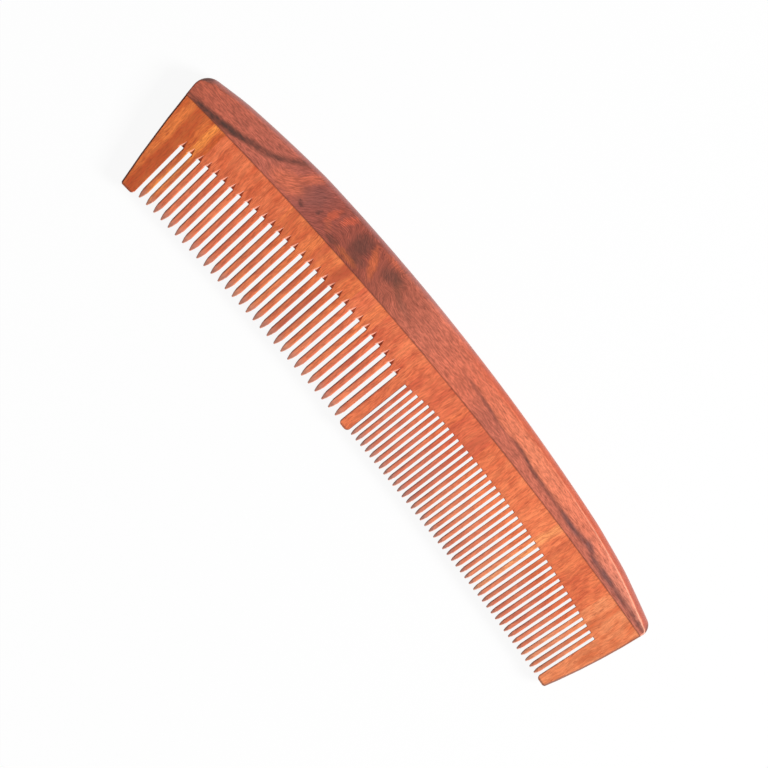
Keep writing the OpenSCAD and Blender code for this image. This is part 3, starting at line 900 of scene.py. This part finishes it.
# %% Spots on the spine
astray = vector(tree, plus(tree, bend, fray), calc(tree, "SUBTRACT", times(tree, bend, 0.6), fray), 0.0)
warped = node(tree, "VectorMath", {0: place_mm, 1: astray}, operation="ADD").outputs[0]
SPOTS = [  # x, y, slant in degrees, half length, half width, colour, strength
    (-55.3, -4.6, 15, 8.0, 4.0, "#dc7250", 0.7),
    (-52.2, 0.4, 50, 6.0, 2.0, "#d46c4e", 0.75),
    (-48.3, -1.6, 60, 7.0, 4.6, "#824a42", 0.65),
    (-41.8, -1.2, 80, 4.0, 1.5, "#cc5c3e", 0.75),
    (-37.8, 1.4, 58, 4.2, 1.4, "#cc5c40", 0.75),
    (-41.0, -3.6, -40, 3.0, 1.3, "#b85c42", 0.6),
    (-37.3, -5.2, 0, 3.4, 1.2, "#5a3228", 0.6),
    (-37.0, 3.8, 0, 5.0, 1.6, "#7e4438", 0.5),
    (-31.4, -0.4, 75, 5.6, 4.4, "#583229", 0.75),
    (-29.0, -3.6, 20, 4.0, 2.0, "#6a3c30", 0.6),
    (-31.6, -5.2, 0, 5.5, 1.3, "#b25a34", 0.8),
    (-26.0, -0.9, -56, 6.0, 1.7, "#d2683e", 0.8),
    (-22.8, 3.4, 5, 4.5, 1.3, "#cc6444", 0.45),
    (-20.4, 0.6, 15, 4.6, 3.0, "#553129", 0.7),
    (-16.5, -0.6, -32, 6.0, 1.6, "#70402f", 0.55),
    (-12.0, -2.2, -20, 5.0, 1.4, "#8a5040", 0.5),
    (-49.4, -5.6, 0, 1.2, 1.1, "#40241e", 0.7),
    (-44.9, -3.3, 80, 1.5, 0.9, "#4c2e2a", 0.5),
]
for *ellipse, code, amount in SPOTS:
    tone = tint(tree, tone, times(tree, spot_mask(warped, *ellipse), amount), code)
print("spots:", len(SPOTS))

# %% [markdown]
# ## Dark streaks, fibres and pores
# The streaks run on across the patches, so they are laid over them. Each is dark on its path, patchy, and
# fades in and out along the board. Then the grain is shaded over everything. Laid first, it would be
# covered where the streaks are densest, and they would look like paint.

# %% Lay the streaks and the grain
SPINE_PORES = "#6e2c1e"


def stripe(above, half_width, start, stop, fade):
    """Mask of a streak: soft across its path, patchy, and faded in and out along the board."""
    mask = smooth(tree, calc(tree, "ABSOLUTE", above), half_width, half_width * 0.1)
    ends = times(tree, smooth(tree, where["X"], start, start + fade),
                 smooth(tree, where["X"], stop, stop - fade))
    return times(tree, times(tree, mask, ends), lift(tree, grain["Mottle"], 0.55, 0.45))


along_joint = calc(tree, "SUBTRACT", plus(tree, where["Height"], times(tree, fray, 0.6)), 0.7)
STREAKS = [  # path, half width, first and last x, length of fading, colour, strength
    (coarse_streak, 1.7, -91, -52, 7, "#4c2c24", 0.95),
    (along_joint, 0.9, -99, -71, 9, "#2e1a14", 0.6),
    (coarse_streak, 1.3, -84, -67, 5, "#2e1c16", 0.6),
    (fine_streak, 0.8, 8, 31, 8, "#5c342e", 0.75),
    (fine_streak, 0.95, 27, 95, 8, "#5c342e", 0.9),
    (fine_streak, 1.7, 42, 97, 24, "#764a46", 0.8),
]
for *streak, code, amount in STREAKS:
    tone = tint(tree, tone, times(tree, stripe(*streak), amount), code)
for layer, depth in ((grain["Fibres"], 0.25), (lines, 0.3), (grain["Mottle"], 0.1)):
    tone = shade_by(tree, tone, layer, depth)
tone = tint(tree, tone, times(tree, grain["Pores"], 0.45), SPINE_PORES)
print("streaks:", len(STREAKS))

# %% [markdown]
# ## Edges of the spine
# The rounded back shows a painted violet sheen towards the coarse end and painted shade towards the fine end:
# red, which also reaches a little way onto the face, and dusky at the fine corner. Its arrises get a painted
# highlight towards the fine end. The ends are end grain, which drinks oil, and their dark tone is partly that
# and partly painted shade. Separate materials on the back and the ends would meet in hard lines, so these are
# masks: by distance from mid-thickness and by the way a face looks.

# %% Tone the back
RED_WIDTH = 2.0
# violet is painted sheen on the rounded back; red and dusk are painted shade on it
VIOLET_SHEEN, RED_SHADE, DUSK_SHADE = "#a8605a", "#ae3e16", "#8a4440"
from_middle = calc(tree, "ABSOLUTE", calc(tree, "SUBTRACT", where["Z"], THICKNESS / 2))
fine_side = smooth(tree, where["X"], -12, 25)
coarse_side = calc(tree, "SUBTRACT", 1.0, fine_side)
# painted violet sheen on the rounded back towards the coarse end
violet_sheen = times(tree, smooth(tree, from_middle, 3.2, 1.8, 0.0, 0.6), coarse_side)
tone = tint(tree, tone, violet_sheen, VIOLET_SHEEN)
# painted red shade on the rounded back towards the fine end, reaching a little way onto the face
red_shade_edge = streak_path([(x, back_y(x) - RED_WIDTH) for x in range(-80, 90, 10)], ragged=0.2)
shade_on_face = times(tree, smooth(tree, red_shade_edge, -0.3, 0.4, 0.0, 0.35), smooth(tree, where["X"], 62, 42))
shade_on_back = smooth(tree, from_middle, 3.495, 3.1, 0.0, 0.7)
tone = tint(tree, tone, times(tree, calc(tree, "MAXIMUM", shade_on_face, shade_on_back), fine_side), RED_SHADE)
# painted dusky shade on the rounded back at the fine corner
dusk_shade = times(tree, smooth(tree, from_middle, 3.4, 2.8), smooth(tree, where["X"], 55, 85, 0.0, 0.45))
tone = tint(tree, tone, dusk_shade, DUSK_SHADE)
print("red reaches onto the face by mm:", round(RED_WIDTH - NOSE_DEPTH, 2))

# %% Paint a highlight on the arrises and shade on the ends, and dress the spine
# colours of the painted arris highlight and of the end grain, which is partly painted shade
ARRIS_HIGHLIGHT, END_GRAIN_SHADE = "#f6b494", "#5a3022"
# painted highlight along the arrises towards the fine end
arris = times(tree, smooth(tree, from_middle, 3.26, 3.4), smooth(tree, from_middle, 3.498, 3.45))
arris_highlight = times(tree, arris, smooth(tree, where["X"], 30, 85, 0.0, 0.55))
tone = tint(tree, tone, arris_highlight, ARRIS_HIGHLIGHT)
# end grain: darker tone, partly painted shade; the same mask gives it a thinner coat and a duller finish
end_grain_and_shade = times(tree, smooth(tree, calc(tree, "ABSOLUTE", facing[0]), 0.3, 0.7, 0.0, 0.75),
                  smooth(tree, calc(tree, "ABSOLUTE", facing[2]), 0.8, 0.4))
tone = tint(tree, tone, end_grain_and_shade, END_GRAIN_SHADE)
tree.links.new(lift(tree, end_grain_and_shade, -SPINE_COAT, SPINE_COAT), shader.inputs["Coat Weight"])
finish_wood(tree, shader, tone, where, grain, rough=0.36, line=0.6, dull=end_grain_and_shade)
spine.data.materials.clear()
spine.data.materials.append(spine_wood)
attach(spine, "root")
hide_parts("spine")
print("spine material nodes:", len(tree.nodes))
